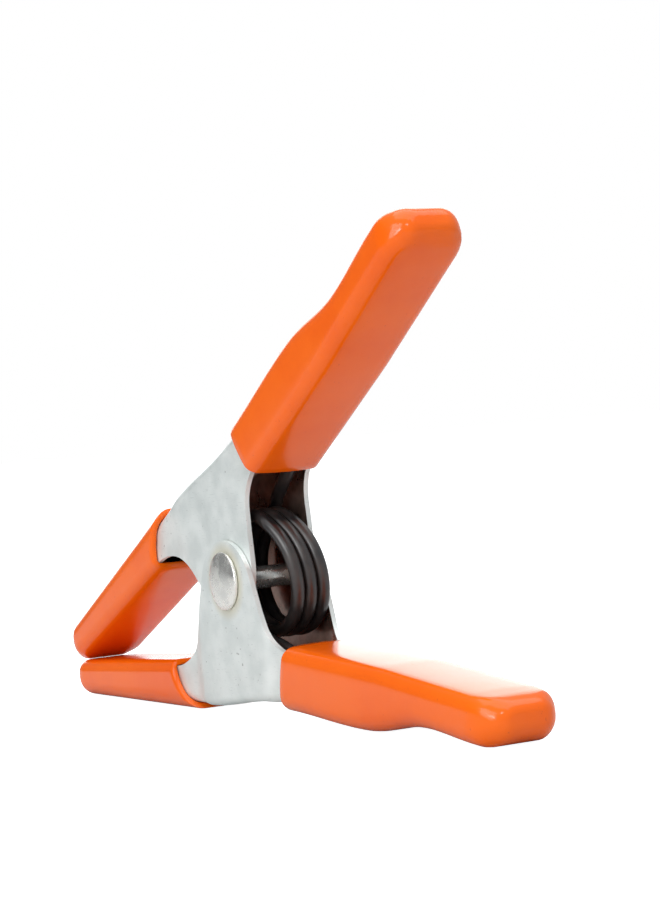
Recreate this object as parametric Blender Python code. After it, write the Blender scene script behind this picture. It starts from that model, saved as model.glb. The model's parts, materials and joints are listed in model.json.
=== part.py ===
"""Spring clamp of the 50 mm class: two pressed steel levers on one rivet, a torsion
spring that holds the jaws shut, and slip-on vinyl sleeves on the handles and jaws.

World frame in metres: +X runs to the handle tips, Y is the rivet's axis and +Z is up.
The clamp stands on its lower lever, and the origin is under the middle of its box.
Shapes are worked out in millimetres about the rivet's axis, in the lower lever's pose.
The upper lever is the same outline turned over and swung up about the rivet.
"""
import math

import bmesh
import bpy
from mathutils import Matrix, Vector

MM = 0.001

# ---- driving dimensions, mm and degrees -------------------------------------------
PIVOT_X = -3.80            # rivet's axis from the middle of the clamp's box
PIVOT_HEIGHT = 24.15       # rivet's axis above the surface the clamp stands on
LEVER_ANGLE = 26.8         # between the two levers with the jaws shut

SHEET = 0.9                # steel thickness
BEND_INSIDE = 1.0          # inside radius of the channel's two bends
CHANNEL_HALF = 6.0         # half width of both channels under the sleeves
LOWER_EARS_HALF = 7.45     # lower ears lap outside ...
UPPER_EARS_HALF = 6.45     # ... the upper ones, 0.1 mm clear of them
EARS_FLAT_TO = 10.9        # ears keep their full width this far from the rivet
EARS_FLARE = 7.3            # and the channel narrows again over this length

JAW_END = -70.2            # ends of the steel
LOWER_HANDLE_END = 79.5
UPPER_HANDLE_END = 81.5
EAR_RADIUS = 10.0
# corners of the flanges' free edge, from jaw to handle: x, z and the arc that rounds it;
# it goes on along its last slope to the handle's end
JAW_EDGE = ((JAW_END, -18.25), (-16.2, -16.0))
EAR_APEX = (0.0, 23.7)
HANDLE_EDGE = ((14.5, -12.2), (50.0, -14.6), (90.0, -18.9))
EDGE_ARCS = (2.9, 16.0, EAR_RADIUS, 8.0, 90.0, 2.6)
ARC_STEP = 2.3             # longest straight piece of those arcs
# the web's outer face: x and z of its levels, joined by smooth ramps
WEB_LEVELS = (
    (-80.0, -22.95),
    (-13.0, -22.95),
    (12.0, -21.0),
    (44.0, -22.75),
    (60.0, -21.1),
    (80.0, -22.95),
)

VINYL = 1.05               # sleeve wall
SLEEVE_FIT = 0.15          # clearance between sleeve and steel
WEB_CORNERS = 2.9          # outside radius of a sleeve's long edges over the bends
FREE_CORNERS = 2.2         # and over the flanges' free edges
EDGE_CORNERS = 0.3         # inside radius over the free edges
ROUND_WEB = 4.2            # radii of its closed end, over the web
ROUND_FREE = 2.6           # ... over the free edges
ROUND_SIDE = 5.0           # ... and over the flanges
END_FLAT = 0.85            # share of those radii that the end turns through
END_FIT = 0.3              # and at the steel's end
ROUNDEST = 0.45            # a section's corners take up at most this share of its height
SLEEVE_PAST_STEEL = 3.3    # sleeves end this far past the steel
JAW_MOUTH = -22.6
JAW_MOUTH_LEAN = -0.85     # mouth runs back towards the tip on the free side, mm per mm
HANDLE_MOUTH = 18.2
HANDLE_MOUTH_LEAN = 0.2

SHANK_RADIUS = 2.0
HOLE_RADIUS = 2.1
HEAD_RADIUS = 5.15
HEAD_RIM = 0.35
HEAD_RISE = 0.8
HEAD_GAP = 0.1             # between a rivet head and the lever's ear

WIRE = 2.4
COIL_RADIUS = 10.4         # to the middle of the wire
COIL_PITCH = 2.5
COIL_SHIFT = 3.6           # the coil is loose on the shank, pressed towards the handles
COIL_LEAN = 2.15           # its turns lean sideways by this much on the handle side
LEAN_ANGLE = 34.0          # ... most of all at this angle below the horizontal
JAW_SIDE_LEAN = 0.2        # ... and by this share of it on the jaw side
LEG_INWARD = 1.0           # legs bend this far back to the middle of the channel
LEG_ANGLE = -15.0          # lower leg below the horizontal; the upper one mirrors it
LEG_LENGTH = 42.0
WIRE_SIDES = 8

STEEL = ("zinc_steel", (0.62, 0.66, 0.70), 0.35, 1.0)
VINYL_SKIN = ("orange_vinyl", (0.83, 0.15, 0.02), 0.2, 0.0)
RIVET = ("rivet_steel", (0.66, 0.65, 0.61), 0.3, 1.0)
SPRING = ("black_wire", (0.05, 0.04, 0.04), 0.4, 0.6)


# ---- outlines ---------------------------------------------------------------------
def smooth(t):
    t = min(max(t, 0.0), 1.0)
    return t * t * (3.0 - 2.0 * t)


def web_height(x):
    """Height of the web's outer face at x."""
    for (x0, z0), (x1, z1) in zip(WEB_LEVELS, WEB_LEVELS[1:]):
        if x <= x1:
            return z0 + (z1 - z0) * smooth((x - x0) / (x1 - x0))
    return WEB_LEVELS[-1][1]


def half_width(x, ears_half):
    """Half width of the channel at x: wide at the ears, narrow under the sleeves."""
    away = (abs(x) - EARS_FLAT_TO) / EARS_FLARE
    return ears_half + (CHANNEL_HALF - ears_half) * smooth(away)


def corner_arc(before, corner, after, radius):
    """Points of the arc that rounds a corner of the free edge."""
    at = Vector(corner)
    back = (Vector(before) - at).normalized()
    on = (Vector(after) - at).normalized()
    half = back.angle(on) / 2
    centre = at + (back + on).normalized() * (radius / math.sin(half))
    first = at + back * (radius / math.tan(half)) - centre
    last = at + on * (radius / math.tan(half)) - centre
    sweep = first.angle_signed(last)
    steps = max(3, round(radius * abs(sweep) / ARC_STEP))
    points = []
    for step in range(steps + 1):
        turn = Matrix.Rotation(-sweep * step / steps, 2)
        points.append(tuple(centre + turn @ first))
    return points


def free_edge(handle_end):
    """The whole free edge of a flange, as x and z points from jaw to handle."""
    corners = [(JAW_END, JAW_EDGE[0][1] - 4.0), *JAW_EDGE, EAR_APEX, *HANDLE_EDGE[:2]]
    corners.append((handle_end, sleeve_top(handle_end)))
    corners.append((handle_end, sleeve_top(handle_end) - 4.0))
    points = []
    for at, radius in enumerate(EDGE_ARCS):
        points += corner_arc(*corners[at:at + 3], radius)
    return points


def edge_stations(handle_end, longest=5.0):
    """Free edge points close enough together to follow the wavy web as well."""
    points = free_edge(handle_end)
    stations = [points[0]]
    for (x0, z0), (x1, z1) in zip(points, points[1:]):
        parts = max(1, math.ceil((x1 - x0) / longest))
        for part in range(1, parts + 1):
            share = part / parts
            stations.append((x0 + (x1 - x0) * share, z0 + (z1 - z0) * share))
    return stations


def sleeve_top(x):
    """Free edge that a sleeve follows: the straight runs, without the ears."""
    corners = JAW_EDGE if x < 0 else HANDLE_EDGE
    for (x0, z0), (x1, z1) in zip(corners, corners[1:]):
        if x <= x1:
            break
    return z0 + (z1 - z0) * (x - x0) / (x1 - x0)


def arc(cy, cz, radius, start, end, steps=3):
    """Points round an arc in a cross-section, angles in degrees."""
    angles = [math.radians(start + (end - start) * step / steps) for step in range(steps + 1)]
    return [(cy + radius * math.cos(a), cz + radius * math.sin(a)) for a in angles]


def channel_section(half, web, edge):
    """Outline of the bent sheet, as y and z points, near flange first."""
    outside = BEND_INSIDE + SHEET
    cy = half - outside
    cz = web + outside
    points = [(-half, edge)]
    points += arc(-cy, cz, outside, 180, 270)
    points += arc(cy, cz, outside, 270, 360)
    points += [(half, edge), (half - SHEET, edge)]
    points += arc(cy, cz, BEND_INSIDE, 360, 270)
    points += arc(-cy, cz, BEND_INSIDE, 270, 180)
    points.append((-half + SHEET, edge))
    return points


def sleeve_section(half, bottom, top, corners):
    """Rounded rectangle, as y and z points; corners holds its web and free side radii."""
    most = ROUNDEST * (top - bottom)
    low, high = (min(radius, most) for radius in corners)
    points = arc(low - half, bottom + low, low, 180, 270)
    points += arc(half - low, bottom + low, low, 270, 360)
    points += arc(half - high, top - high, high, 0, 90)
    points += arc(high - half, top - high, high, 90, 180)
    return points


# ---- solids -----------------------------------------------------------------------
def add_rings(mesh, rings):
    """Skins a row of closed rings; gives back the rings' vertices."""
    rows = [[mesh.verts.new(point) for point in ring] for ring in rings]
    for row, ahead in zip(rows, rows[1:]):
        for i in range(len(row)):
            j = (i + 1) % len(row)
            mesh.faces.new((row[i], row[j], ahead[j], ahead[i]))
    return rows


def material(name, colour, roughness, metallic):
    made = bpy.data.materials.get(name)
    if made:
        return made
    made = bpy.data.materials.new(name)
    made.use_nodes = True
    shader = made.node_tree.nodes["Principled BSDF"]
    shader.inputs["Base Color"].default_value = (*colour, 1.0)
    shader.inputs["Roughness"].default_value = roughness
    shader.inputs["Metallic"].default_value = metallic
    return made


def finish(mesh, name, parent, look, turned_over=False):
    """Turns the millimetre mesh into a named object in metres under its pivot."""
    size = Matrix.Diagonal((MM, MM, -MM if turned_over else MM, 1.0))
    bmesh.ops.transform(mesh, matrix=size, verts=mesh.verts)
    bmesh.ops.recalc_face_normals(mesh, faces=mesh.faces)
    if mesh.calc_volume(signed=True) < 0:
        bmesh.ops.reverse_faces(mesh, faces=mesh.faces)
    data = bpy.data.meshes.new(name)
    mesh.to_mesh(data)
    mesh.free()
    data.shade_smooth()
    data.set_sharp_from_angle(angle=math.radians(35))
    made = bpy.data.objects.new(name, data)
    made.parent = parent
    bpy.context.collection.objects.link(made)
    data.materials.append(material(*look))
    return made


def pivot(name, degrees):
    """Empty on the rivet's axis that a lever and its sleeves hang from."""
    made = bpy.data.objects.new(name, None)
    made.location = (PIVOT_X * MM, 0.0, PIVOT_HEIGHT * MM)
    made.rotation_euler = (0.0, math.radians(-degrees), 0.0)
    bpy.context.collection.objects.link(made)
    return made


def hole_cutter(parent):
    bpy.ops.mesh.primitive_cylinder_add(vertices=24, radius=HOLE_RADIUS * MM, depth=30 * MM)
    cutter = bpy.context.object
    cutter.name = parent.name + "_rivet_hole"
    cutter.data.transform(Matrix.Rotation(math.radians(90), 4, "X"))
    cutter.parent = parent
    cutter.hide_render = True
    cutter.display_type = "WIRE"
    return cutter


def lever(name, parent, ears_half, handle_end, turned_over):
    """Pressed channel with two rounded ears, pierced for the rivet."""
    rings = []
    for x, edge in edge_stations(handle_end):
        section = channel_section(half_width(x, ears_half), web_height(x), edge)
        rings.append([(x, y, z) for y, z in section])
    mesh = bmesh.new()
    rows = add_rings(mesh, rings)
    mesh.faces.new(rows[0])
    mesh.faces.new(rows[-1])
    made = finish(mesh, name, parent, STEEL, turned_over)
    hole = made.modifiers.new("rivet hole", "BOOLEAN")
    hole.operation = "DIFFERENCE"
    hole.object = hole_cutter(parent)


def sleeve_ring(x, off, corners, lean=0.0):
    """One ring, off the steel by so much at web, free edge and flanks.

    Lean tips the ring, to cut the mouth on the slant.
    """
    bottom = web_height(x) - off[0]
    top = sleeve_top(x) + off[1]
    middle = (bottom + top) / 2
    ring = []
    for y, z in sleeve_section(CHANNEL_HALF + off[2], bottom, top, corners):
        at = x + lean * (z - middle)
        level = web_height if z < middle else sleeve_top
        ring.append((at, y, z + level(at) - level(x)))
    return ring


def end_inset(radius, to_go):
    """How far a side has rounded in, with so much still to go to the sleeve's end."""
    short = radius - min(to_go, radius)
    return radius - math.sqrt(radius * radius - short * short)


def sleeve_skins(mouth, steel_end, lean):
    """Outer and inner rings of a sleeve from its mouth to its rounded end."""
    way = 1 if steel_end > mouth else -1
    end = steel_end + way * SLEEVE_PAST_STEEL
    inner_end = steel_end + way * END_FIT
    outer_corners = (WEB_CORNERS, FREE_CORNERS)
    inner_corners = (BEND_INSIDE + SHEET + SLEEVE_FIT, EDGE_CORNERS)
    count = max(8, round(abs(end - mouth) / 5))
    outer = []
    inner = []
    for step in range(count + 1):
        share = step / count
        tip = lean * (1 - smooth(share * 2.0))
        x = mouth + (end - way * ROUND_SIDE - mouth) * share
        outer.append(sleeve_ring(x, [SLEEVE_FIT + VINYL] * 3, outer_corners, tip))
        x = mouth + (inner_end - mouth) * share
        inner.append(sleeve_ring(x, [SLEEVE_FIT] * 3, inner_corners, tip))
    for to_go in (3.5, 2.2, 1.2, 0.5, 0.0):
        insets = [end_inset(radius, to_go) for radius in (ROUND_WEB, ROUND_FREE, ROUND_SIDE)]
        off = [SLEEVE_FIT + VINYL - inset * END_FLAT for inset in insets]
        corners = [max(radius - 0.4 * insets[0], 0.9) for radius in outer_corners]
        outer.append(sleeve_ring(end - way * to_go, off, corners))
    return outer, inner


def sleeve(name, parent, skins, turned_over):
    """Closed-ended vinyl sock: an outer skin, an inner one and the rim between them."""
    mesh = bmesh.new()
    skin = add_rings(mesh, skins[0])
    lining = add_rings(mesh, skins[1])
    mesh.faces.new(skin[-1])
    mesh.faces.new(lining[-1])
    for i in range(len(skin[0])):
        j = (i + 1) % len(skin[0])
        mesh.faces.new((skin[0][i], skin[0][j], lining[0][j], lining[0][i]))
    finish(mesh, name, parent, VINYL_SKIN, turned_over)


def rivet(parent):
    """Shank with two low domed heads, turned about its own axis."""
    face = LOWER_EARS_HALF + HEAD_GAP
    head = [(SHANK_RADIUS, face), (HEAD_RADIUS, face), (HEAD_RADIUS, face + HEAD_RIM)]
    for share in (0.75, 0.5, 0.25, 0.0):
        rise = HEAD_RISE * math.sqrt(1 - share * share)
        head.append((HEAD_RADIUS * share, face + HEAD_RIM + rise))
    profile = [(r, -y) for r, y in reversed(head)] + head
    mesh = bmesh.new()
    line = [mesh.verts.new((r, y, 0.0)) for r, y in profile]
    edges = [mesh.edges.new(pair) for pair in zip(line, line[1:])]
    bmesh.ops.spin(mesh, geom=line + edges, cent=(0, 0, 0), axis=(0, 1, 0), angle=2 * math.pi, steps=24)
    bmesh.ops.remove_doubles(mesh, verts=mesh.verts, dist=0.001)
    finish(mesh, "pivot_rivet", parent, RIVET)


def coil_point(turned, angle):
    """Middle of the wire after so much winding; angle is where that is on the coil."""
    middle = math.radians(LEVER_ANGLE / 2)
    x = COIL_SHIFT * math.cos(middle) + COIL_RADIUS * math.cos(angle)
    z = COIL_SHIFT * math.sin(middle) + COIL_RADIUS * math.sin(angle)
    lean = COIL_LEAN * math.cos(angle + math.radians(LEAN_ANGLE))
    if lean < 0:
        lean *= JAW_SIDE_LEAN
    return Vector((x, lean - COIL_PITCH * turned / (2 * math.pi), z))


def leg(root, angle, inward):
    """Straight leg from the coil, easing back to the middle of the channel."""
    points = []
    for share in (0.08, 0.16, 0.24, 0.6, 1.0):
        run = LEG_LENGTH * share
        across = inward * smooth(share / 0.24)
        points.append(root + Vector((run * math.cos(angle), across, run * math.sin(angle))))
    return points


def spring_path():
    """Upper leg, down the jaw side, round the coil and out along the lower leg."""
    leg_low = math.radians(LEG_ANGLE)
    leg_high = math.radians(LEVER_ANGLE - LEG_ANGLE)
    start = leg_high + math.pi / 2
    end = leg_low - math.pi / 2 + 2 * math.pi * 4
    wound = end - start
    steps = 66
    coil = []
    for step in range(steps + 1):
        turned = wound * (step / steps - 0.5)
        coil.append(coil_point(turned, start + wound * step / steps))
    upper = leg(coil[0], leg_high, -LEG_INWARD)
    lower = leg(coil[-1], leg_low, LEG_INWARD)
    return upper[::-1] + coil + lower


def torsion_spring(parent):
    """Round wire swept along the coil and both legs."""
    path = spring_path()
    across = Vector((0.0, 1.0, 0.0))
    rings = []
    for i, point in enumerate(path):
        ahead = path[min(i + 1, len(path) - 1)] - path[max(i - 1, 0)]
        side = ahead.cross(across).normalized()
        other = side.cross(ahead).normalized()
        ring = []
        for k in range(WIRE_SIDES):
            a = 2 * math.pi * (k + 0.5) / WIRE_SIDES
            ring.append(point + (side * math.cos(a) + other * math.sin(a)) * WIRE / 2)
        rings.append(ring)
    mesh = bmesh.new()
    rows = add_rings(mesh, rings)
    mesh.faces.new(rows[0])
    mesh.faces.new(rows[-1])
    finish(mesh, "torsion_spring", parent, SPRING)


def lever_with_sleeves(side, parent, ears_half, handle_end, turned_over):
    lever(side + "_lever", parent, ears_half, handle_end, turned_over)
    jaw = sleeve_skins(JAW_MOUTH, JAW_END, JAW_MOUTH_LEAN)
    handle = sleeve_skins(HANDLE_MOUTH, handle_end, HANDLE_MOUTH_LEAN)
    sleeve(side + "_jaw_tip", parent, jaw, turned_over)
    sleeve(side + "_handle_grip", parent, handle, turned_over)


def main():
    for old in list(bpy.data.objects):
        bpy.data.objects.remove(old, do_unlink=True)
    lower = pivot("lower_pivot", 0.0)
    upper = pivot("upper_pivot", LEVER_ANGLE)
    lever_with_sleeves("lower", lower, LOWER_EARS_HALF, LOWER_HANDLE_END, False)
    lever_with_sleeves("upper", upper, UPPER_EARS_HALF, UPPER_HANDLE_END, True)
    rivet(lower)
    torsion_spring(lower)


main()
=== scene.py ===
# %% [markdown]
# # A hand spring clamp
#
# Two pressed steel levers cross on a rivet, a torsion spring pushes the handles apart
# and so shuts the jaws, and four dipped vinyl sleeves cover the handles and jaw tips.
# The frame is loaded first: it says where everything is, and each finished piece
# stands for one of its nodes.

import json
import math

import bmesh
import bpy
from mathutils import Matrix, Vector


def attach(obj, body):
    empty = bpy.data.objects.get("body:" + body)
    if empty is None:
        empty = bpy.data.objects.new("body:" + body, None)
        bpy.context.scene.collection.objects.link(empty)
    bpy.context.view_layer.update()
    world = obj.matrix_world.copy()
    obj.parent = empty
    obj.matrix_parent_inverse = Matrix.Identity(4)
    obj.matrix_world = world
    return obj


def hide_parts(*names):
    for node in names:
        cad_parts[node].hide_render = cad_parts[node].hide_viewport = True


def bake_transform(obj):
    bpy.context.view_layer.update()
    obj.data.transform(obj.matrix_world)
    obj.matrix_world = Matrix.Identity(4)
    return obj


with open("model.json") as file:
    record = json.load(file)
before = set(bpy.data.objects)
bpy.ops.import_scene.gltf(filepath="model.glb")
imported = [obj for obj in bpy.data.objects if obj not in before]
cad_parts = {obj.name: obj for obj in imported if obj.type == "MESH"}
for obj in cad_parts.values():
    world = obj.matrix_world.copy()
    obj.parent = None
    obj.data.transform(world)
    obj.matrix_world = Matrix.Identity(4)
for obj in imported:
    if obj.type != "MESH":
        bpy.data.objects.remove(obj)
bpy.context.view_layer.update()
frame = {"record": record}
MM = 0.001

# %% [markdown]
# ## The camera
#
# The clamp is seen from beyond its handle tips and a little to one side, from almost
# level with the rivet, through a long lens, so that it hardly narrows with distance.
# The camera is set by where it stands, which way it looks and how it is tilted.

# %% Camera
hinge = Vector(frame["record"]["behaviour"]["joints"][0]["pos_m"])
STAND_OFF = Vector((0.38099, -0.194935, 0.024225))   # from the rivet to the camera
LOOK = Vector((-0.87509, 0.48392, -0.00624))
UPRIGHT = Vector((0.0334, 0.07326, 0.99675))
lens = bpy.data.cameras.new("long_lens")
lens.lens = 96.1
lens.clip_start = 0.01
camera = bpy.data.objects.new("camera", lens)
across = LOOK.cross(UPRIGHT).normalized()
upright = across.cross(LOOK).normalized()
turn = Matrix((across, upright, -LOOK.normalized())).transposed()
camera.matrix_world = Matrix.Translation(hinge + STAND_OFF) @ turn.to_4x4()
bpy.context.scene.collection.objects.link(camera)
bpy.context.scene.camera = camera
print("camera at", [round(v, 4) for v in camera.location])

# %% [markdown]
# ## The floor
#
# The floor is a wide pale sheet, a hair below the clamp. It also glows, but only where
# the camera sees it directly, so it meets the white world with no line between them and
# throws no extra light on the clamp.

# %% Floor
FLOOR_SIZE = 60.0
FLOOR_DROP = 0.0002
bpy.ops.object.select_all(action="DESELECT")
bpy.ops.mesh.primitive_plane_add(size=FLOOR_SIZE, location=(0, 0, -FLOOR_DROP))
floor = bpy.context.object
floor.name = "floor"
paper = bpy.data.materials.new("pale_paper")
paper.use_nodes = True
paper_shader = paper.node_tree.nodes["Principled BSDF"]
paper_shader.inputs["Base Color"].default_value = (0.6, 0.6, 0.6, 1)
paper_shader.inputs["Roughness"].default_value = 0.9
paper_shader.inputs["Specular IOR Level"].default_value = 0.0
paper_shader.inputs["Emission Color"].default_value = (1, 1, 1, 1)
glow = paper.node_tree.nodes.new("ShaderNodeLightPath")
direct = glow.outputs["Is Camera Ray"]
paper.node_tree.links.new(direct, paper_shader.inputs["Emission Strength"])
floor.data.materials.append(paper)
print("floor", FLOOR_SIZE, "m wide")

# %% [markdown]
# ## The lights
#
# Small glossy things are lit by big soft panels, which show in the vinyl and the plating
# as broad pale reflections. Two much smaller ones add the sharp sparks on the vinyl.

# %% Lights
def panel(name, at, aim, size, watts):
    """Square soft panel standing at a point and facing another."""
    light = bpy.data.lights.new(name, "AREA")
    light.shape = "RECTANGLE"
    light.size, light.size_y = size
    light.energy = watts
    made = bpy.data.objects.new(name, light)
    made.location = at
    made.rotation_euler = (Vector(aim) - Vector(at)).to_track_quat("-Z", "Y").to_euler()
    bpy.context.scene.collection.objects.link(made)


MIDDLE = (0.0, 0.0, 0.035)      # where every panel points, and the sizes below in metres
panel("top_panel", (0.05, 0.05, 0.75), MIDDLE, (0.9, 0.9), 4.2)
panel("side_panel", (0.25, -0.75, 0.35), MIDDLE, (0.5, 0.5), 3.0)
panel("far_panel", (-0.75, 0.35, 0.35), MIDDLE, (0.7, 0.7), 2.6)
panel("spark_high", (0.55, -0.30, 0.42), MIDDLE, (0.07, 0.07), 0.35)
panel("spark_side", (0.40, -0.62, 0.22), MIDDLE, (0.07, 0.07), 0.35)
print("panels:", sorted(light.name for light in bpy.data.lights))

# %% [markdown]
# ## The world
#
# The world is plain white to the eye and greyer to the reflections, so that the steel
# keeps some contrast. It is darkest on the side that the near flanks mirror.

# %% World
DARK_SIDE = (-0.87, -0.48, 0.0)
DARK_FROM, DARK_TO = 0.48, 0.82          # how squarely a direction faces the dark side
BRIGHT, DARK = 0.62, 0.16
world = bpy.data.worlds.new("white_tent")
bpy.context.scene.world = world
world.use_nodes = True
sky = world.node_tree
sky.nodes.clear()
rays = sky.nodes.new("ShaderNodeLightPath")
seen = sky.nodes.new("ShaderNodeBackground")
seen.inputs["Color"].default_value = (1, 1, 1, 1)
seen.inputs["Strength"].default_value = 1.0
felt = sky.nodes.new("ShaderNodeBackground")
felt.inputs["Color"].default_value = (0.94, 0.97, 1.0, 1)
toward = sky.nodes.new("ShaderNodeTexCoord")
facing = sky.nodes.new("ShaderNodeVectorMath")
facing.operation = "DOT_PRODUCT"
facing.inputs[1].default_value = DARK_SIDE
sky.links.new(toward.outputs["Generated"], facing.inputs[0])
dim = sky.nodes.new("ShaderNodeMapRange")
dim.interpolation_type = "SMOOTHSTEP"
dim.inputs["From Min"].default_value = DARK_FROM
dim.inputs["From Max"].default_value = DARK_TO
dim.inputs["To Min"].default_value = BRIGHT
dim.inputs["To Max"].default_value = DARK
sky.links.new(facing.outputs["Value"], dim.inputs["Value"])
sky.links.new(dim.outputs["Result"], felt.inputs["Strength"])
pick = sky.nodes.new("ShaderNodeMixShader")
out = sky.nodes.new("ShaderNodeOutputWorld")
sky.links.new(rays.outputs["Is Camera Ray"], pick.inputs[0])
sky.links.new(felt.outputs[0], pick.inputs[1])
sky.links.new(seen.outputs[0], pick.inputs[2])
sky.links.new(pick.outputs[0], out.inputs["Surface"])
bpy.context.scene.view_settings.view_transform = "Standard"
print("world strength from", DARK, "to", BRIGHT, "in reflections")

# %% [markdown]
# ## Outlines
#
# Both levers are one pressing: a channel whose web waves up and down, with two ears that
# rise to the rivet. The upper lever is the same thing turned over. So every outline is
# worked out once, in millimetres about the rivet, and then placed on either side. The
# sizes below are the pressing's own.

# %% Outline of the pressing
SHEET = 0.9
BEND = 1.0                # inside radius of the channel's bends
CHANNEL_HALF = 6.0
EARS_HALF = {"lower": 7.45, "upper": 6.45}
EARS_FLAT_TO = 10.9       # ears keep their width this far either side of the rivet
EARS_FLARE = 7.3          # ... and come in to the channel's over this length
OPENING = 26.8            # angle between the levers with the jaws shut
JAW_END = -70.2
HANDLE_END = {"lower": 79.5, "upper": 81.5}
JAW_EDGE = ((JAW_END, -18.25), (-16.2, -16.0))
EAR_APEX = (0.0, 23.7)
HANDLE_EDGE = ((14.5, -12.2), (50.0, -14.6), (90.0, -18.9))
EDGE_ARCS = (2.9, 16.0, 10.0, 8.0, 90.0, 2.6)    # rounds the free edge's corners in turn
END_DROP = 4.0            # how far the free edge turns down at either end
STATION_GAP = 1.5         # most between two stations
WEB_LEVELS = (
    (-80.0, -22.95), (-13.0, -22.95), (12.0, -21.0),
    (44.0, -22.75), (60.0, -21.1), (80.0, -22.95),
)


def smooth(t):
    """Eases from 0 to 1."""
    t = min(max(t, 0.0), 1.0)
    return t * t * (3 - 2 * t)


def web_height(x):
    """Level of the web's outer face."""
    if x <= WEB_LEVELS[0][0]:
        return WEB_LEVELS[0][1]
    for (x0, z0), (x1, z1) in zip(WEB_LEVELS, WEB_LEVELS[1:]):
        if x <= x1:
            return z0 + (z1 - z0) * smooth((x - x0) / (x1 - x0))
    return WEB_LEVELS[-1][1]


def sleeve_top(x):
    """Level of the flanges' free edge along the straight runs."""
    corners = JAW_EDGE if x < 0 else HANDLE_EDGE
    for (x0, z0), (x1, z1) in zip(corners, corners[1:]):
        if x <= x1:
            break
    return z0 + (z1 - z0) * (x - x0) / (x1 - x0)


def corner_arc(before, corner, after, radius, step_mm=0.7):
    """Points of the arc that rounds a corner of the free edge."""
    at = Vector(corner)
    back = (Vector(before) - at).normalized()
    on = (Vector(after) - at).normalized()
    half = back.angle(on) / 2
    centre = at + (back + on).normalized() * (radius / math.sin(half))
    first = at + back * (radius / math.tan(half)) - centre
    last = at + on * (radius / math.tan(half)) - centre
    sweep = first.angle_signed(last)
    steps = max(4, round(radius * abs(sweep) / step_mm))
    turns = [Matrix.Rotation(-sweep * k / steps, 2) for k in range(steps + 1)]
    return [tuple(centre + t @ first) for t in turns]


def free_edge(side):
    """Stations along the pressing: x and the level of its free edge."""
    end = HANDLE_END[side]
    corners = [(JAW_END, JAW_EDGE[0][1] - END_DROP), *JAW_EDGE, EAR_APEX, *HANDLE_EDGE[:2]]
    corners += [(end, sleeve_top(end)), (end, sleeve_top(end) - END_DROP)]
    points = []
    for at, radius in enumerate(EDGE_ARCS):
        points += corner_arc(*corners[at:at + 3], radius)
    stations = [points[0]]
    for (x0, z0), (x1, z1) in zip(points, points[1:]):
        parts = max(1, math.ceil((x1 - x0) / STATION_GAP))
        for k in range(1, parts + 1):
            stations.append((x0 + (x1 - x0) * k / parts, z0 + (z1 - z0) * k / parts))
    return stations


def channel_half(side, x):
    """Half the width over the sheet: wide at the ears, narrower along the channel."""
    away = (abs(x) - EARS_FLAT_TO) / EARS_FLARE
    return EARS_HALF[side] + (CHANNEL_HALF - EARS_HALF[side]) * smooth(away)


def placed(side, points):
    """Points in millimetres about the rivet, put in the frame's metres."""
    if side == "upper":
        spin = Matrix.Rotation(math.radians(-OPENING), 3, "Y")
        return [hinge + spin @ (Vector((x, y, -z)) * MM) for x, y, z in points]
    return [hinge + Vector(p) * MM for p in points]


for each in HANDLE_END:
    print(each, "pressing has", len(free_edge(each)), "stations")

# %% [markdown]
# ## One way of making every piece
#
# A channel, a sock, a wire and a domed rivet are all a closed outline that is drawn
# along. In Blender that is a circle whose points are put on the first outline, and then
# an extrusion for each further one. The ends are filled, and the normals made to point
# out. A closed shell with the wrong sign of volume is inside out, and is flipped.

# %% Draw an outline along
def drawn_along(name, rings):
    """Closed solid from a row of closed rings of points, made with extrusions."""
    count = len(rings[0])
    bpy.ops.object.select_all(action="DESELECT")
    bpy.ops.mesh.primitive_circle_add(vertices=count, radius=0.01, fill_type="NOTHING")
    piece = bpy.context.object
    piece.location = (0, 0, 0)
    piece.name = name
    piece.data.name = name
    for vertex, point in zip(piece.data.vertices, rings[0]):
        vertex.co = point
    bpy.ops.object.mode_set(mode="EDIT")
    bpy.ops.mesh.select_all(action="SELECT")
    for before, points in zip(rings, rings[1:]):
        mesh = bmesh.from_edit_mesh(piece.data)
        order = {}
        for vertex in (v for v in mesh.verts if v.select):
            gaps = [(vertex.co - p).length_squared for p in before]
            order[tuple(vertex.co)] = gaps.index(min(gaps))
        bpy.ops.mesh.extrude_edges_move()
        mesh = bmesh.from_edit_mesh(piece.data)
        for vertex in (v for v in mesh.verts if v.select):
            vertex.co = points[order[tuple(vertex.co)]]
    bmesh.update_edit_mesh(piece.data)
    bpy.ops.mesh.edge_face_add()
    bpy.ops.mesh.select_all(action="DESELECT")
    bpy.ops.mesh.select_non_manifold()
    bpy.ops.mesh.edge_face_add()
    bpy.ops.mesh.select_all(action="SELECT")
    bpy.ops.mesh.normals_make_consistent(inside=False)
    mesh = bmesh.from_edit_mesh(piece.data)
    if mesh.calc_volume(signed=True) < 0:
        bpy.ops.mesh.flip_normals()
    bpy.ops.object.mode_set(mode="OBJECT")
    return piece


def apply_all(piece):
    """Applies a piece's modifiers in turn."""
    bpy.context.view_layer.objects.active = piece
    for modifier in list(piece.modifiers):
        bpy.ops.object.modifier_apply(modifier=modifier.name)


def settle(piece, body, node, material, angle):
    """Shades a finished piece, gives it its finish, and hands it to the frame."""
    bpy.ops.object.select_all(action="DESELECT")
    piece.select_set(True)
    bpy.context.view_layer.objects.active = piece
    bpy.ops.object.shade_smooth_by_angle(angle=math.radians(angle))
    if not piece.data.materials:
        piece.data.materials.append(material)
    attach(piece, body)
    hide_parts(node)
    print(node, len(piece.data.polygons), "faces")


# %% [markdown]
# ## Finishes: patterns that several materials share
#
# Real plating, wire and vinyl are never one even tone. Three small patterns do most of
# the work: clouds, which vary a tone slowly; specks, which are dust and pinholes; and
# scratches, which are very long thin noise. Each is a group with named inputs, so that
# a material can place it at its own size. All of them read Object coordinates in metres.

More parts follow.
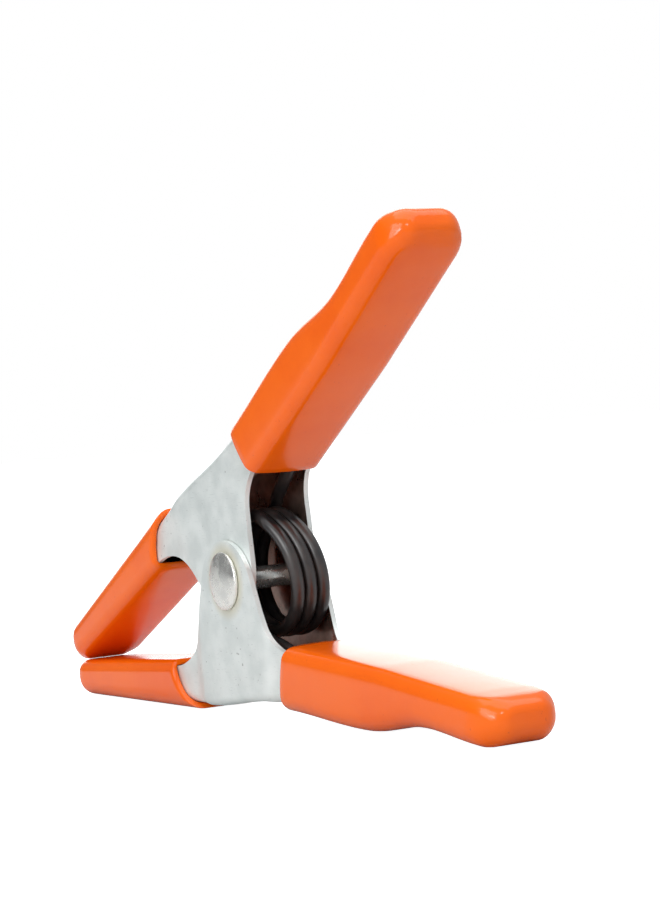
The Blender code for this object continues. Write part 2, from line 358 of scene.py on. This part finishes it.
# %% Shared pattern groups
def pattern_group(name, inputs, outputs):
    """Empty node group with value inputs, their defaults, and value outputs."""
    group = bpy.data.node_groups.new(name, "ShaderNodeTree")
    for label, default in inputs:
        socket = group.interface.new_socket(label, in_out="INPUT", socket_type="NodeSocketFloat")
        socket.default_value = default
    for label in outputs:
        group.interface.new_socket(label, in_out="OUTPUT", socket_type="NodeSocketFloat")
    return group, group.nodes.new("NodeGroupInput"), group.nodes.new("NodeGroupOutput")


def noise_in(tree, coordinates, scale_from, detail, roughness=0.55):
    """Noise texture on given coordinates, its scale from a socket."""
    made = tree.nodes.new("ShaderNodeTexNoise")
    made.inputs["Detail"].default_value = detail
    made.inputs["Roughness"].default_value = roughness
    tree.links.new(coordinates, made.inputs["Vector"])
    tree.links.new(scale_from, made.inputs["Scale"])
    return made


def ramp_in(tree, value, low, high):
    """Map a value so that low gives 0 and high gives 1."""
    made = tree.nodes.new("ShaderNodeMapRange")
    made.interpolation_type = "SMOOTHSTEP"
    made.inputs["From Min"].default_value = low
    made.inputs["From Max"].default_value = high
    tree.links.new(value, made.inputs["Value"])
    return made


def clouds_group():
    """Slow, soft variation between 0 and 1."""
    group, given, result = pattern_group("clouds", [("Scale", 120.0)], ["Value"])
    at = group.nodes.new("ShaderNodeTexCoord")
    noise = noise_in(group, at.outputs["Object"], given.outputs["Scale"], 4)
    spread = ramp_in(group, noise.outputs["Fac"], 0.32, 0.68)
    group.links.new(spread.outputs["Result"], result.inputs["Value"])
    return group


def specks_group():
    """Small, rare spots."""
    group, given, result = pattern_group("specks", [("Scale", 900.0)], ["Mask"])
    at = group.nodes.new("ShaderNodeTexCoord")
    noise = noise_in(group, at.outputs["Object"], given.outputs["Scale"], 2)
    picked = ramp_in(group, noise.outputs["Fac"], 0.69, 0.76)
    group.links.new(picked.outputs["Result"], result.inputs["Mask"])
    return group


def scratches_group():
    """Two crossing sets of long fine lines."""
    group, given, result = pattern_group("scratches", [("Scale", 260.0)], ["Mask"])
    at = group.nodes.new("ShaderNodeTexCoord")
    masks = []
    for degrees, stretch in ((24.0, 14.0), (-52.0, 10.0)):
        lay = group.nodes.new("ShaderNodeMapping")
        lay.inputs["Rotation"].default_value = (0.0, math.radians(degrees), 0.0)
        lay.inputs["Scale"].default_value = (1.0, 1.0, stretch)
        group.links.new(at.outputs["Object"], lay.inputs["Vector"])
        noise = noise_in(group, lay.outputs["Vector"], given.outputs["Scale"], 3, 0.7)
        masks.append(ramp_in(group, noise.outputs["Fac"], 0.64, 0.70).outputs["Result"])
    both = group.nodes.new("ShaderNodeMath")
    both.operation = "MAXIMUM"
    group.links.new(masks[0], both.inputs[0])
    group.links.new(masks[1], both.inputs[1])
    group.links.new(both.outputs[0], result.inputs["Mask"])
    return group


CLOUDS = clouds_group()
SPECKS = specks_group()
SCRATCHES = scratches_group()
print("patterns:", CLOUDS.name, SPECKS.name, SCRATCHES.name)

# %% [markdown]
# ## Small helpers for materials
#
# Each finish is built from the same few moves: place a pattern, use it to mix two
# colours or to set how rough a surface is, and raise it as a small bump.

# %% Helpers for materials
def new_finish(name, roughness, metallic):
    """Empty finish with its shader's own constants set."""
    made = bpy.data.materials.new(name)
    made.use_nodes = True
    shader = made.node_tree.nodes["Principled BSDF"]
    shader.inputs["Roughness"].default_value = roughness
    shader.inputs["Metallic"].default_value = metallic
    return made, made.node_tree, shader


def use(tree, group, scale):
    """Places a shared pattern at a scale; gives its one output."""
    made = tree.nodes.new("ShaderNodeGroup")
    made.node_tree = group
    made.inputs["Scale"].default_value = scale
    return made.outputs[0]


def blend_colours(tree, mask, low, high):
    """Mixes two colours, or sockets of colour, by a mask."""
    mix = tree.nodes.new("ShaderNodeMix")
    mix.data_type = "RGBA"
    tree.links.new(mask, mix.inputs["Factor"])
    for socket, value in ((mix.inputs["A"], low), (mix.inputs["B"], high)):
        if isinstance(value, tuple):
            socket.default_value = (*value, 1.0)
        else:
            tree.links.new(value, socket)
    return mix.outputs["Result"]


def scaled(tree, value, low, high):
    """Stretches a 0 to 1 value between two levels."""
    made = tree.nodes.new("ShaderNodeMapRange")
    made.inputs["To Min"].default_value = low
    made.inputs["To Max"].default_value = high
    tree.links.new(value, made.inputs["Value"])
    return made.outputs["Result"]


def bump(tree, shader, height, strength, distance_mm, before=None):
    """Bump from a height, on top of another bump where one is given."""
    made = tree.nodes.new("ShaderNodeBump")
    made.inputs["Strength"].default_value = strength
    made.inputs["Distance"].default_value = distance_mm * MM
    tree.links.new(height, made.inputs["Height"])
    if before:
        tree.links.new(before, made.inputs["Normal"])
    tree.links.new(made.outputs["Normal"], shader.inputs["Normal"])
    return made.outputs["Normal"]


# %% [markdown]
# ## Orange dipped vinyl
#
# A dipped sleeve is thick, glossy and a little wavy, because it set while it ran. So
# its colour drifts slightly, its gloss varies a little with it, and a slow bump
# bends its reflections. A few dark specks are dust that was caught in the dip.

# %% Vinyl
def orange_vinyl():
    """Glossy dipped vinyl with a slow wave in it."""
    made, tree, shader = new_finish("orange_vinyl", 0.15, 0.0)
    shader.inputs["Specular IOR Level"].default_value = 0.36
    drift = use(tree, CLOUDS, 45.0)
    colour = blend_colours(tree, drift, (0.84, 0.112, 0.002), (0.90, 0.140, 0.003))
    dust = use(tree, SPECKS, 1500.0)
    colour = blend_colours(tree, scaled(tree, dust, 0.0, 0.35), colour, (0.45, 0.05, 0.01))
    tree.links.new(colour, shader.inputs["Base Color"])
    tree.links.new(scaled(tree, drift, 0.12, 0.19), shader.inputs["Roughness"])
    slow = bump(tree, shader, drift, 0.12, 0.25)
    bump(tree, shader, use(tree, CLOUDS, 420.0), 0.05, 0.05, slow)
    return made


# %% [markdown]
# ## Zinc plated sheet
#
# Bright zinc is a pale blue grey with a faint crystal bloom, rubbed and scratched by
# handling. Round the rivet it has a straw tarnish, made here from the distance to the
# rivet's axis, which every lever shares because its mesh keeps its place. Inside the
# channels the colour is a painted shade: dark browns that stand in for the channel's
# shade and its reflections of the orange vinyl and the black spring.

# %% Zinc
TARNISH_IN, TARNISH_OUT = 5.2, 7.6       # from the rivet's axis, full and gone


def zinc_steel():
    """Plated sheet: bloom, tarnish round the rivet, scratches and pinholes."""
    made, tree, shader = new_finish("zinc_steel", 0.5, 0.6)
    at = tree.nodes.new("ShaderNodeTexCoord")
    centre = tree.nodes.new("ShaderNodeMapping")
    centre.inputs["Location"].default_value = -hinge
    tree.links.new(at.outputs["Object"], centre.inputs["Vector"])
    flat = tree.nodes.new("ShaderNodeVectorMath")
    flat.operation = "MULTIPLY"
    flat.inputs[1].default_value = (1.0, 0.0, 1.0)
    tree.links.new(centre.outputs["Vector"], flat.inputs[0])
    away = tree.nodes.new("ShaderNodeVectorMath")
    away.operation = "LENGTH"
    tree.links.new(flat.outputs["Vector"], away.inputs[0])
    ring = ramp_in(tree, away.outputs["Value"], TARNISH_OUT * MM, TARNISH_IN * MM)
    ring = ring.outputs["Result"]
    bloom = use(tree, CLOUDS, 190.0)
    colour = blend_colours(tree, bloom, (0.76, 0.81, 0.79), (0.86, 0.90, 0.88))
    colour = blend_colours(tree, scaled(tree, ring, 0.0, 0.6), colour, (0.72, 0.67, 0.50))
    lines = use(tree, SCRATCHES, 420.0)
    colour = blend_colours(tree, scaled(tree, lines, 0.0, 0.30), colour, (0.50, 0.54, 0.54))
    marks = use(tree, SPECKS, 1100.0)
    colour = blend_colours(tree, scaled(tree, marks, 0.0, 0.7), colour, (0.30, 0.31, 0.30))
    tree.links.new(colour, shader.inputs["Base Color"])
    rough = tree.nodes.new("ShaderNodeMath")
    rough.operation = "ADD"
    tree.links.new(scaled(tree, bloom, 0.46, 0.58), rough.inputs[0])
    tree.links.new(scaled(tree, lines, 0.0, 0.10), rough.inputs[1])
    tree.links.new(rough.outputs[0], shader.inputs["Roughness"])
    grain = bump(tree, shader, bloom, 0.10, 0.03)
    bump(tree, shader, lines, 0.35, 0.03, grain)
    return made


def zinc_painted_shade():
    """Painted shade inside the channel: dark browns for its shade and its reflections of vinyl
    and spring.
    """
    made, tree, shader = new_finish("zinc_painted_shade", 0.4, 0.8)
    shade_drift = use(tree, CLOUDS, 150.0)
    # painted shade: dark browns for the shade inside the channel and its reflections of the
    # vinyl and spring
    colour = blend_colours(tree, shade_drift, (0.14, 0.090, 0.070), (0.42, 0.29, 0.24))
    tree.links.new(colour, shader.inputs["Base Color"])
    tree.links.new(scaled(tree, shade_drift, 0.25, 0.42), shader.inputs["Roughness"])
    bump(tree, shader, use(tree, SCRATCHES, 200.0), 0.2, 0.02)
    return made


# %% [markdown]
# ## Black spring wire and the rivet
#
# Oiled black oxide is dark with a satin sheen and worn to brown here and there. The
# rivet is plain satin steel, mottled where it was struck.

# %% Wire and rivet
def spring_wire():
    """Satin black, a little browner where it is worn."""
    made, tree, shader = new_finish("spring_wire", 0.3, 0.0)
    shader.inputs["Specular IOR Level"].default_value = 0.8
    worn = use(tree, CLOUDS, 260.0)
    colour = blend_colours(tree, worn, (0.012, 0.011, 0.012), (0.034, 0.025, 0.022))
    tree.links.new(colour, shader.inputs["Base Color"])
    tree.links.new(scaled(tree, worn, 0.28, 0.42), shader.inputs["Roughness"])
    bump(tree, shader, use(tree, SCRATCHES, 380.0), 0.15, 0.02)
    return made


def rivet_steel():
    """Plain satin steel with a soft mottle."""
    made, tree, shader = new_finish("rivet_steel", 0.3, 0.8)
    mottle = use(tree, CLOUDS, 420.0)
    colour = blend_colours(tree, mottle, (0.70, 0.70, 0.67), (0.90, 0.89, 0.84))
    dirt = use(tree, SPECKS, 1400.0)
    colour = blend_colours(tree, scaled(tree, dirt, 0.0, 0.6), colour, (0.22, 0.20, 0.17))
    tree.links.new(colour, shader.inputs["Base Color"])
    tree.links.new(scaled(tree, mottle, 0.16, 0.34), shader.inputs["Roughness"])
    bump(tree, shader, mottle, 0.08, 0.04)
    return made


VINYL = orange_vinyl()
ZINC = zinc_steel()
ZINC_PAINTED_SHADE = zinc_painted_shade()
WIRE_BLACK = spring_wire()
RIVET_STEEL = rivet_steel()
print("finishes:", *(f.name for f in (VINYL, ZINC, ZINC_PAINTED_SHADE, WIRE_BLACK, RIVET_STEEL)))

# %% [markdown]
# ## The levers
#
# Each lever is the channel's outline drawn along its stations. It is pierced for the
# rivet with a Boolean, and every cut edge is then broken by a small bevel, because it
# is the bright line along the sheet's edge that shows how thick the steel is.

# %% Levers
BEND_STEPS = 7
HOLE_RADIUS = 2.1
DRILL_LENGTH = 30.0
EDGE_BREAK = 0.11


def arc(cy, cz, radius, start, end, steps):
    """Points round an arc in a cross-section, angles in degrees."""
    angles = [math.radians(start + (end - start) * k / steps) for k in range(steps + 1)]
    return [(cy + radius * math.cos(a), cz + radius * math.sin(a)) for a in angles]


def channel_section(half, web, edge):
    """Outline of the bent sheet, as y and z points."""
    outside = BEND + SHEET
    cy = half - outside
    cz = web + outside
    points = [(-half, edge)]
    points += arc(-cy, cz, outside, 180, 270, BEND_STEPS)
    points += arc(cy, cz, outside, 270, 360, BEND_STEPS)
    points += [(half, edge), (half - SHEET, edge)]
    points += arc(cy, cz, BEND, 360, 270, BEND_STEPS)
    points += arc(-cy, cz, BEND, 270, 180, BEND_STEPS)
    points.append((-half + SHEET, edge))
    return points


def mark_painted_shade(piece, side):
    """Gives the channel's inner faces the second finish, the painted shade."""
    turned = math.radians(OPENING if side == "upper" else 0.0)
    back = Matrix.Rotation(turned, 3, "Y")
    for face in piece.data.polygons:
        at = back @ (face.center - hinge) / MM
        level = -at.z if side == "upper" else at.z
        half = channel_half(side, at.x)
        if abs(at.y) < half - 0.75 * SHEET and level > web_height(at.x) + 0.5 * SHEET:
            face.material_index = 1


def make_lever(side):
    """One channel, drawn, drilled for the rivet and with its cut edges broken."""
    rings = []
    for x, edge in free_edge(side):
        section = channel_section(channel_half(side, x), web_height(x), edge)
        rings.append(placed(side, [(x, y, z) for y, z in section]))
    piece = drawn_along(side + "_channel", rings)
    piece.data.materials.append(ZINC)
    # second slot: the painted shade on the channel's inner faces
    piece.data.materials.append(ZINC_PAINTED_SHADE)
    mark_painted_shade(piece, side)
    bpy.ops.object.select_all(action="DESELECT")
    quarter = (math.radians(90), 0, 0)
    bpy.ops.mesh.primitive_cylinder_add(
        vertices=48, radius=HOLE_RADIUS * MM, depth=DRILL_LENGTH * MM, location=hinge,
        rotation=quarter)
    drill = bpy.context.object
    hole = piece.modifiers.new("rivet_hole", "BOOLEAN")
    hole.object = drill
    hole.operation = "DIFFERENCE"
    edges = piece.modifiers.new("broken_edges", "BEVEL")
    edges.width = EDGE_BREAK * MM
    edges.segments = 2
    edges.limit_method = "ANGLE"
    edges.angle_limit = math.radians(50)
    apply_all(piece)
    bpy.data.objects.remove(drill)
    settle(piece, side + "_side", side + "_lever", ZINC, 32)
    even = piece.modifiers.new("even_shading", "WEIGHTED_NORMAL")
    even.keep_sharp = True
    apply_all(piece)


for each in ("lower", "upper"):
    make_lever(each)

# %% [markdown]
# ## The sleeves
#
# A sleeve is a sock with a thick rolled rim. Its outline starts at the closed end of
# the lining, runs back to the mouth, rolls over the rim and goes on along the outside
# to the rounded tip, all in one drawing. The face towards the other lever is crowned,
# the flanks swell slightly, and the mouth bows forward, as dipped vinyl does. Where the
# jaw tips meet the vinyl is a little thinner, which leaves a hair of room between them.

# %% Sleeves
WALL = 1.05
FIT = 0.15                # room between a sleeve and its steel
ROUNDEST = 0.47           # a section's corners take up at most this share of its height
CORNER_STEPS = 6
FLAT_STEPS = 6
RUN_STEPS = 44            # rings along a sleeve, inside and again outside
RIM_STEPS = 6
TIP_STEPS = 18
LINING_PAST = 0.3         # the lining goes this far past the steel's end
SKIN_PAST = 3.3           # ... and the outside this far
MOUTH_BOW = 0.45
OUTER_CORNERS = (2.9, 2.2)
# where each mouth is, how far it runs back over the free side in mm per mm, and how
# much of that is swept into its lower part
JAW_MOUTH, JAW_LEAN, JAW_SWEEP = -22.6, -0.85, 2.2
HANDLE_MOUTH, HANDLE_LEAN, HANDLE_SWEEP = 17.7, 0.2, 1.0
# a closed end's radii over the web, the free edge and the flanks, and the share of each
# that it turns through
HANDLE_TIP = ((5.4, 3.6, 6.5), (0.66, 0.62, 0.68))
JAW_TIP = ((4.6, 1.6, 4.6), (0.86, 0.30, 0.62))
PRESSED = 0.16            # less vinyl than elsewhere where the jaw tips meet


def sleeve_section(half, bottom, top, low, high, crown, swell):
    """Rounded box in y and z with points along its flats, crowned on its free side."""
    most = ROUNDEST * (top - bottom)
    low, high = min(low, most), min(high, most)
    corners = arc(low - half, bottom + low, low, 180, 270, CORNER_STEPS)
    corners += arc(half - low, bottom + low, low, 270, 360, CORNER_STEPS)
    corners += arc(half - high, top - high, high, 0, 90, CORNER_STEPS)
    corners += arc(high - half, top - high, high, 90, 180, CORNER_STEPS)
    points = []
    for k, (y, z) in enumerate(corners):
        points.append((y, z))
        if k % (CORNER_STEPS + 1) == CORNER_STEPS:
            y1, z1 = corners[(k + 1) % len(corners)]
            for n in range(1, FLAT_STEPS):
                points.append((y + (y1 - y) * n / FLAT_STEPS, z + (z1 - z) * n / FLAT_STEPS))
    tall = (top - bottom) / 2
    shaped = []
    for y, z in points:
        over = (z - bottom - tall) / tall
        bow = max(0.0, 1 - (y / half) ** 2) * smooth(over) * crown
        side = max(0.0, 1 - over * over) * swell * smooth((abs(y) / half - 0.5) * 2)
        shaped.append((y + math.copysign(side, y), z + bow))
    return shaped


def sleeve_ring(x, off, corners, lean, sweep, bow, crown, swell):
    """A sleeve's section at x, leaned and bowed along it, off the steel by off."""
    bottom = web_height(x) - off[0]
    top = sleeve_top(x) + off[1]
    middle = (bottom + top) / 2
    tall = (top - bottom) / 2
    ring = []
    section = sleeve_section(CHANNEL_HALF + off[2], bottom, top, *corners, crown, swell)
    for y, z in section:
        share = (z - middle) / tall
        down = min(max((1 - share) / 2, 0.0), 1.0)
        at = x + lean * tall * (1 - 2 * down ** sweep) + bow * (1 - min(1.0, share * share))
        level = web_height if z < middle else sleeve_top
        ring.append((at, y, z + level(at) - level(x)))
    return ring


def end_inset(radius, to_go):
    """How far a rounded end has turned in, with so much of its length to go."""
    short = radius - min(to_go, radius)
    return radius - math.sqrt(radius * radius - short * short)


def make_sleeve(side, which):
    """One sleeve: lining, rolled rim, outside and rounded tip."""
    jaw = which == "jaw_tip"
    if jaw:
        mouth, lean, sweep = JAW_MOUTH, JAW_LEAN, JAW_SWEEP
    else:
        mouth, lean, sweep = HANDLE_MOUTH, HANDLE_LEAN, HANDLE_SWEEP
    steel = JAW_END if jaw else HANDLE_END[side]
    radii, turned = JAW_TIP if jaw else HANDLE_TIP
    crown, swell = (0.05, 0.1) if jaw else (0.4, 0.15)
    pressed = (0.0, PRESSED if jaw else 0.0, 0.0)
    way = -1 if jaw else 1
    end = steel + way * SKIN_PAST
    rings = []

    def add(x, off, corners, share, crowned):
        ease = 1 - smooth(share * 2)
        rings.append(placed(side, sleeve_ring(
            x, off, corners, lean * ease, sweep, -way * MOUTH_BOW * ease, crown * crowned,
            swell * crowned)))

    inner_corners = (BEND + SHEET + FIT, 0.3)
    for step in range(RUN_STEPS, 0, -1):
        share = step / RUN_STEPS
        x = mouth + (steel + way * LINING_PAST - mouth) * share
        add(x, [FIT] * 3, inner_corners, share, 0.0)
    rim = WALL / 2
    for step in range(RIM_STEPS + 1):
        a = math.pi * step / RIM_STEPS
        off = FIT + rim - rim * math.cos(a)
        mixed = [i + (o - i) * step / RIM_STEPS
                 for i, o in zip(inner_corners, OUTER_CORNERS)]
        add(mouth + way * rim * (1 - math.sin(a)), [off] * 3, mixed, 0.0, step / RIM_STEPS)
    start = mouth + way * rim * 1.2
    stop = end - way * radii[2]
    for step in range(1, RUN_STEPS + 1):
        share = step / RUN_STEPS
        off = [FIT + WALL - thin * share for thin in pressed]
        add(start + (stop - start) * share, off, OUTER_CORNERS, share, 1.0)
    for step in range(1, TIP_STEPS + 1):
        to_go = radii[2] * (1 - math.sin(math.radians(90 * step / TIP_STEPS)))
        insets = [end_inset(radius, to_go) for radius in radii]
        off = [FIT + WALL - thin - inset * part
               for thin, inset, part in zip(pressed, insets, turned)]
        corners = [radius + 0.5 * insets[0] for radius in OUTER_CORNERS]
        add(end - way * to_go, off, corners, 1.0, min(1.0, to_go / radii[2]))
    piece = drawn_along(f"{side}_{which}_sleeve", rings)
    settle(piece, side + "_side", f"{side}_{which}", VINYL, 60)


for each in ("lower", "upper"):
    make_sleeve(each, "jaw_tip")
    make_sleeve(each, "handle_grip")

# %% [markdown]
# ## The rivet
#
# The rivet is turned: its outline runs from the middle of one domed head, in to the
# shank, along it, and out over the other head. Drawn as circles along its axis, it
# comes out smooth all round.

# %% Rivet
SHANK_RADIUS = 2.0
HEAD_RADIUS = 5.15
HEAD_GAP = 0.1            # between a head and the lever's ear
HEAD_EDGE = 0.35          # straight edge of a head, below its dome
HEAD_DOME = 0.8
DOME_STEPS = 12
RIVET_SIDES = 64


def make_rivet():
    """Both heads and the shank, turned about the rivet's axis."""
    face = EARS_HALF["lower"] + HEAD_GAP
    head = [(SHANK_RADIUS, face - 0.2), (SHANK_RADIUS, face), (5.0, face)]
    head += [(HEAD_RADIUS, face + 0.1), (HEAD_RADIUS, face + 0.3)]
    for k in range(1, DOME_STEPS + 1):
        a = math.radians(90) * k / DOME_STEPS
        r = HEAD_RADIUS * math.cos(a) + 0.02
        head.append((r, face + HEAD_EDGE + HEAD_DOME * math.sin(a)))
    profile = [(r, -y) for r, y in reversed(head)] + head
    rings = []
    for r, y in profile:
        turns = [2 * math.pi * k / RIVET_SIDES for k in range(RIVET_SIDES)]
        rings.append([hinge + Vector((r * math.cos(t), y, r * math.sin(t))) * MM for t in turns])
    piece = drawn_along("turned_rivet", rings)
    settle(piece, "lower_side", "pivot_rivet", RIVET_STEEL, 50)


make_rivet()

# %% [markdown]
# ## The torsion spring
#
# The wire comes in along the upper handle's channel, winds down past the jaw side, goes
# round a bit more than three times and leaves along the lower channel.

# %% Spring
WIRE = 2.4
COIL_RADIUS = 10.4        # to the middle of the wire
COIL_PITCH = 2.5
COIL_STEPS = 300
COIL_SHIFT = 3.6          # the coil is loose on the shank, pressed towards the handles
COIL_LEAN = 2.15          # its turns lean sideways by this much on the handle side
LEAN_BACK = 0.2           # ... and by this share of it on the jaw side
LEAN_AT = math.radians(34.0)
LEG_LOW = math.radians(-15.0)
LEG_HIGH = math.radians(OPENING) - LEG_LOW
LEG_LENGTH = 42.0
LEG_STEPS = 24
LEG_INWARD = 1.0          # legs bend this far back to the middle of the channel
LEG_BEND = 0.24           # ... over this share of their length
WIRE_SIDES = 20


def coil_point(turned, angle):
    """Middle of the wire, after so much winding, at an angle of the coil."""
    middle = math.radians(OPENING / 2)
    x = COIL_SHIFT * math.cos(middle) + COIL_RADIUS * math.cos(angle)
    z = COIL_SHIFT * math.sin(middle) + COIL_RADIUS * math.sin(angle)
    lean = COIL_LEAN * math.cos(angle + LEAN_AT)
    if lean < 0:
        lean *= LEAN_BACK
    return Vector((x, lean - COIL_PITCH * turned / (2 * math.pi), z))


def spring_leg(root, angle, inward):
    """Middle of the wire along a leg, from the coil outward."""
    points = []
    for k in range(1, LEG_STEPS + 1):
        run = LEG_LENGTH * k / LEG_STEPS
        aside = inward * smooth(k / LEG_STEPS / LEG_BEND)
        points.append(root + Vector((run * math.cos(angle), aside, run * math.sin(angle))))
    return points


def make_spring():
    """The wire from one leg's end to the other's."""
    start = LEG_HIGH + math.pi / 2
    wound = LEG_LOW - math.pi / 2 + 8 * math.pi - start
    coil = []
    for k in range(COIL_STEPS + 1):
        angle = start + wound * k / COIL_STEPS
        coil.append(coil_point(wound * (k / COIL_STEPS - 0.5), angle))
    upper_leg = spring_leg(coil[0], LEG_HIGH, -LEG_INWARD)
    path = upper_leg[::-1] + coil + spring_leg(coil[-1], LEG_LOW, LEG_INWARD)
    rings = []
    for k, point in enumerate(path):
        ahead = path[min(k + 1, len(path) - 1)] - path[max(k - 1, 0)]
        aside = ahead.cross(Vector((0, 1, 0))).normalized()
        other = aside.cross(ahead).normalized()
        turns = [2 * math.pi * n / WIRE_SIDES for n in range(WIRE_SIDES)]
        ring = [point + (aside * math.cos(t) + other * math.sin(t)) * WIRE / 2 for t in turns]
        rings.append([hinge + p * MM for p in ring])
    piece = drawn_along("wound_spring", rings)
    bpy.ops.object.select_all(action="DESELECT")
    piece.select_set(True)
    bpy.context.view_layer.objects.active = piece
    bpy.ops.object.shade_smooth_by_angle(angle=math.radians(50))
    piece.data.materials.append(WIRE_BLACK)
    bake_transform(piece)
    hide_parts("torsion_spring")
    print("torsion_spring", len(piece.data.polygons), "faces")


make_spring()
